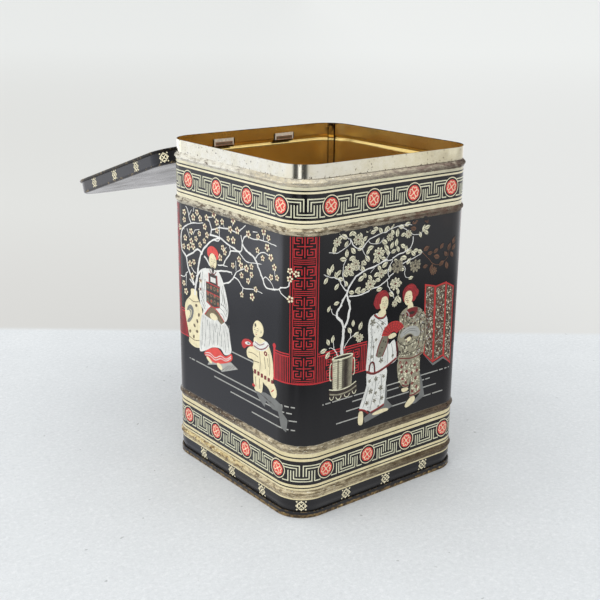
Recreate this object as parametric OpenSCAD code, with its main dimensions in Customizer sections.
// Tall square printed tin with a hinged lid, built in sheet metal as the real one is.
// Millimetres, +Z up. The origin is the middle of the footprint on the floor plane.
// The hinge runs along X on the +Y wall. The lid is drawn swung open against its stop.

/* [Body] */
// Width of the square body across the flat printed panels
panel_width = 114; // [100:0.5:130]
// Outside radius of the four upright corners
corner_radius = 15; // [10:0.5:20]
// Height of the rim above the floor
rim_height = 175.2; // [150:0.1:200]
// Thickness of the tinplate sheet
sheet = 0.3; // [0.25:0.01:0.4]
// How far the plain neck stands inside the printed panels
neck_inset = 0.6; // [0.3:0.05:1]
// How far the wall draws in where it enters the bottom seam
foot_inset = 0.5; // [0.3:0.05:0.8]

/* [Beads] */
// Height of the neck bead that the closed lid comes down to
neck_bead_z = 166.8; // [150:0.1:190]
// Height of the bead under the upper band
upper_bead_z = 144.4; // [130:0.1:160]
// Height of the bead above the lower band
lower_bead_z = 36.4; // [30:0.1:50]
// Height of the bead above the foot strip
foot_bead_z = 12.7; // [9:0.1:20]
// Half the height of each bead
bead_half = 1.95; // [1.4:0.05:2.6]
// How far the beads stand out from the panels
bead_rise = 0.9; // [0.5:0.05:1.2]

/* [Side seam] */
// Width of the folded lock seam inside the far corner
seam_width = 3.6; // [3:0.1:5]
// Extra thickness of the folded lock seam
seam_rise = 0.6; // [0.4:0.05:0.9]

/* [Bottom seam] */
// Height of the double seam that joins the base to the body
bottom_seam = 3.2; // [2.8:0.1:3.8]
// Gap between the seam's layers, filled with lacquer on a real tin
seam_gap = 0.03; // [0.02:0.01:0.05]
// Height of the underside of the sunk base panel above the floor
base_lift = 2.6; // [2:0.1:2.8]

/* [Lid] */
// Height of the closed lid's top above the floor
lid_top_z = 176.6; // [176:0.1:178]
// Gap all round between the neck and the lid's skirt
lid_gap = 0.3; // [0.2:0.05:0.5]
// Radius from the skirt into the lid's top
lid_edge = 1.5; // [1:0.1:2.5]
// Outside radius of the plain rolled edge of the skirt
roll_radius = 0.75; // [0.6:0.05:0.9]
// Height of the closed lid's rolled edge
roll_z = 168.95; // [168.8:0.05:169.4]

/* [Hinge] */
// How far the hinge wire stands out from the closed lid's skirt
hinge_out = 1.15; // [1:0.05:1.5]
// Height of the hinge wire above the floor
hinge_z = 168.9; // [168.5:0.1:169.5]
// Diameter of the hinge wire
wire_d = 1.4; // [1.2:0.05:1.6]
// Running clearance between the wire and the straps
wire_clear = 0.05; // [0.02:0.01:0.08]
// Width of each hinge strap along the wire
strap_width = 12.6; // [10:0.1:15]
// Distance of each strap's middle from the tin's middle
strap_x = 20.5; // [15:0.1:30]
// Reach of the clinched strap ends up and down the inner wall
clinch = 1.55; // [1:0.05:2]
// How far the lid is swung open from closed
open_angle = 198; // [180:0.5:198]

/* [Hidden] */
$fn = 96;
half = panel_width / 2;
straight = half - corner_radius;
neck = half - neck_inset;
foot = half - foot_inset;
skirt_in = neck + lid_gap;
skirt_out = skirt_in + sheet;
hinge_y = skirt_out + hinge_out;
wire_r = wire_d / 2;
strap_in_r = wire_r + wire_clear;
strap_out_r = strap_in_r + sheet;
curl_in_r = wire_r + 0.02;
curl_out_r = curl_in_r + sheet;
leg_gap = 0.05;
slot_low = hinge_z + strap_out_r - 2 * sheet - leg_gap - 0.1;
slot_high = hinge_z + strap_out_r + 0.1;
inner_wall = neck - sheet;

// Smooth step and raised-cosine bump, from which the wall's outline is made.
function ease(t) = t <= 0 ? 0 : t >= 1 ? 1 : t * t * (3 - 2 * t);
function bump(z, c, h) = abs(z - c) < bead_half ? h * (1 + cos(180 * (z - c) / bead_half)) / 2 : 0;
// Distance of the wall's outer face from the tin's middle plane at height z.
function wall_x(z) = half
    - neck_inset * ease((z - neck_bead_z + bead_half) / (2 * bead_half))
    - foot_inset * (1 - ease((z - bottom_seam - 0.6) / 3))
    + bump(z, neck_bead_z, bead_rise + neck_inset / 2)
    + bump(z, upper_bead_z, bead_rise)
    + bump(z, lower_bead_z, bead_rise)
    + bump(z, foot_bead_z, bead_rise);
function slope(z) = (wall_x(z + 0.02) - wall_x(z - 0.02)) / 0.04;
// A point of the wall's outline, moved inwards by d along the wall's normal.
function wall_pt(z, d) = let (s = slope(z), n = sqrt(1 + s * s)) [wall_x(z) - d / n, z + d * s / n];
function bead_steps(c) = [for (i = [0:10]) c + bead_half - i * bead_half / 5];
// Heights at which the outline is taken, from the rim down to the bottom seam.
levels = concat([rim_height],
    bead_steps(neck_bead_z), bead_steps(upper_bead_z), bead_steps(lower_bead_z), bead_steps(foot_bead_z),
    [for (i = [0:4]) bottom_seam + 3.6 - i * 0.75]);
function reversed(v) = [for (i = [len(v) - 1:-1:0]) v[i]];
function arc(cx, cz, r, a0, a1, n) = [for (i = [0:n]) [cx + r * cos(a0 + (a1 - a0) * i / n), cz + r * sin(a0 + (a1 - a0) * i / n)]];

hook_in = foot + 2 * seam_gap + sheet;
hook_out = hook_in + sheet;
body_profile = concat(
    [for (z = levels) wall_pt(z, 0)],
    [[foot, 2 * sheet + seam_gap], [hook_in, 2 * sheet + seam_gap], [hook_in, bottom_seam - 2 * sheet],
     [hook_out, bottom_seam - 2 * sheet]],
    arc(hook_out - 0.3, sheet + seam_gap + 0.3, 0.3, 0, -90, 3),
    [[foot - sheet, sheet + seam_gap]],
    [for (z = reversed(levels)) wall_pt(z, sheet)]);

// The folded seam follows the wall's inner face, and only half of each bead.
seam_turn = seam_width / (corner_radius - sheet) * 180 / PI;
seam_levels = [for (z = levels) if (z > bottom_seam + 1) z];
seam_profile = concat([for (z = seam_levels) wall_pt(z, sheet - 0.1)],
    [for (z = reversed(seam_levels)) [wall_x(z) - sheet - seam_rise
        - (bump(z, neck_bead_z, bead_rise) + bump(z, upper_bead_z, bead_rise)
            + bump(z, lower_bead_z, bead_rise) + bump(z, foot_bead_z, bead_rise)) / 2, z]]);

chuck_out = foot - sheet - seam_gap;
chuck_in = chuck_out - sheet;
seal_in = hook_out + seam_gap;
seal_out = seal_in + sheet;
base_profile = concat(
    [[straight, base_lift], [straight, base_lift + sheet]],
    arc(chuck_out - 0.45, base_lift + sheet - 0.45, 0.45, 90, 0, 4),
    [[chuck_out, sheet], [seal_in - 0.1, sheet], [seal_in, sheet + 0.1], [seal_in, bottom_seam - sheet - 0.1],
     [seal_in - 0.1, bottom_seam - sheet], [foot + seam_gap + sheet, bottom_seam - sheet],
     [foot + seam_gap + sheet, 3 * sheet + 2 * seam_gap], [foot + seam_gap, 3 * sheet + 2 * seam_gap],
     [foot + seam_gap, bottom_seam - 0.2], [foot + seam_gap + 0.2, bottom_seam]],
    arc(seal_out - 0.4, bottom_seam - 0.4, 0.4, 90, 0, 4),
    arc(seal_out - 0.4, 0.4, 0.4, 0, -90, 4),
    arc(chuck_in + 0.3, 0.3, 0.3, -90, -180, 3),
    arc(chuck_in - 0.15, base_lift - 0.15, 0.15, 0, 90, 2));

// Skirt, rounded shoulder and top of the closed lid, ending in a rolled edge centred at (cx, cz).
function lid_profile(cx, cz, ri, ro) = concat(
    [[straight, lid_top_z]],
    arc(skirt_out - lid_edge, lid_top_z - lid_edge, lid_edge, 90, 0, 6),
    [[skirt_out, cz + 2.1], [cx - ri, cz + 0.7]],
    arc(cx, cz, ri, 180, 460, 16),
    reversed(arc(cx, cz, ro, 180, 460, 16)),
    [[cx - ro, cz + 0.7], [skirt_in, cz + 2.1]],
    reversed(arc(skirt_out - lid_edge, lid_top_z - lid_edge, lid_edge - sheet, 90, 0, 6)),
    [[straight, lid_top_z - sheet]]);

// One straight side of a ring with this outline, on the +X side.
module side(profile) {
    translate([0, straight, 0]) rotate([90, 0, 0]) linear_extrude(2 * straight) polygon(profile);
}
// One rounded corner of the ring, at +X +Y.
module corner(profile) {
    translate([straight, straight, 0]) rotate_extrude(angle = 90)
        polygon([for (p = profile) [p[0] - straight, p[1]]]);
}
module ring(profile) {
    for (i = [0:3]) rotate([0, 0, 90 * i]) {
        side(profile);
        corner(profile);
    }
}
// Moves what is drawn with the lid closed to the open rest pose.
module swung_open() {
    translate([0, hinge_y, hinge_z]) rotate([-open_angle, 0, 0]) translate([0, -hinge_y, -hinge_z]) children();
}

// Wall, neck, beads and flanged foot bent from one printed sheet, locked in a fold inside the far corner.
module body_shell() {
    color([0.93, 0.88, 0.72]) difference() {
        union() {
            ring(body_profile);
            translate([straight, straight, 0]) rotate([0, 0, 45 - seam_turn / 2]) rotate_extrude(angle = seam_turn)
                polygon([for (p = seam_profile) [p[0] - straight, p[1]]]);
        }
        for (s = [-1, 1]) translate([s * strap_x - strap_width / 2 - 0.2, inner_wall - 1, slot_low])
            cube([strap_width + 0.4, sheet + 2, slot_high - slot_low]);
    }
}

// Sunk base, whose rim folds round the body's flange as a double seam.
module base_plate() {
    color([0.62, 0.47, 0.2]) union() {
        ring(base_profile);
        translate([-straight, -straight, base_lift]) cube([2 * straight, 2 * straight, sheet]);
    }
}

// Tinplate strap round the wire, both ends through a slot in the neck and clinched apart inside.
module hinge_strap(x) {
    leg_y = inner_wall - 0.05 - sheet;
    top = hinge_z + strap_out_r;
    color([0.6, 0.42, 0.28]) translate([x - strap_width / 2, 0, 0]) rotate([90, 0, 90])
        linear_extrude(strap_width) difference() {
            union() {
                translate([hinge_y, hinge_z]) circle(r = strap_out_r);
                translate([leg_y, top - sheet]) square([hinge_y - leg_y, sheet]);
                translate([leg_y, top - sheet]) square([sheet, clinch + sheet]);
                translate([leg_y, top - 2 * sheet - leg_gap]) square([hinge_y - strap_in_r - leg_y, sheet]);
                translate([leg_y, top - 2 * sheet - leg_gap - clinch]) square([sheet, clinch + sheet]);
            }
            translate([hinge_y, hinge_z]) circle(r = strap_in_r);
        }
}
module hinge_strap_left() {
    hinge_strap(-strap_x);
}
module hinge_strap_right() {
    hinge_strap(strap_x);
}

// Stamped lid with a rolled edge. The rear roll stands further out, holds the wire and is cut away at the straps.
module lid_cover() {
    plain = lid_profile(skirt_in + roll_radius, roll_z, roll_radius - sheet, roll_radius);
    rear = lid_profile(hinge_y, hinge_z, curl_in_r, curl_out_r);
    color([0.1, 0.1, 0.12]) swung_open() difference() {
        union() {
            for (i = [0:3]) rotate([0, 0, 90 * i]) corner(plain);
            for (i = [0, 2, 3]) rotate([0, 0, 90 * i]) side(plain);
            rotate([0, 0, 90]) side(rear);
            translate([-straight, -straight, lid_top_z - sheet]) cube([2 * straight, 2 * straight, sheet]);
        }
        for (s = [-1, 1]) translate([s * strap_x - strap_width / 2 - 0.5, neck - 1, hinge_z - 2])
            cube([strap_width + 1, 5, 4]);
    }
}

// Straight steel wire that the lid turns on.
module hinge_wire() {
    color([0.6, 0.6, 0.6]) swung_open()
        translate([-straight + 1, hinge_y, hinge_z]) rotate([0, 90, 0]) cylinder(h = 2 * straight - 2, r = wire_r);
}

body_shell();
base_plate();
hinge_strap_left();
hinge_strap_right();
lid_cover();
hinge_wire();
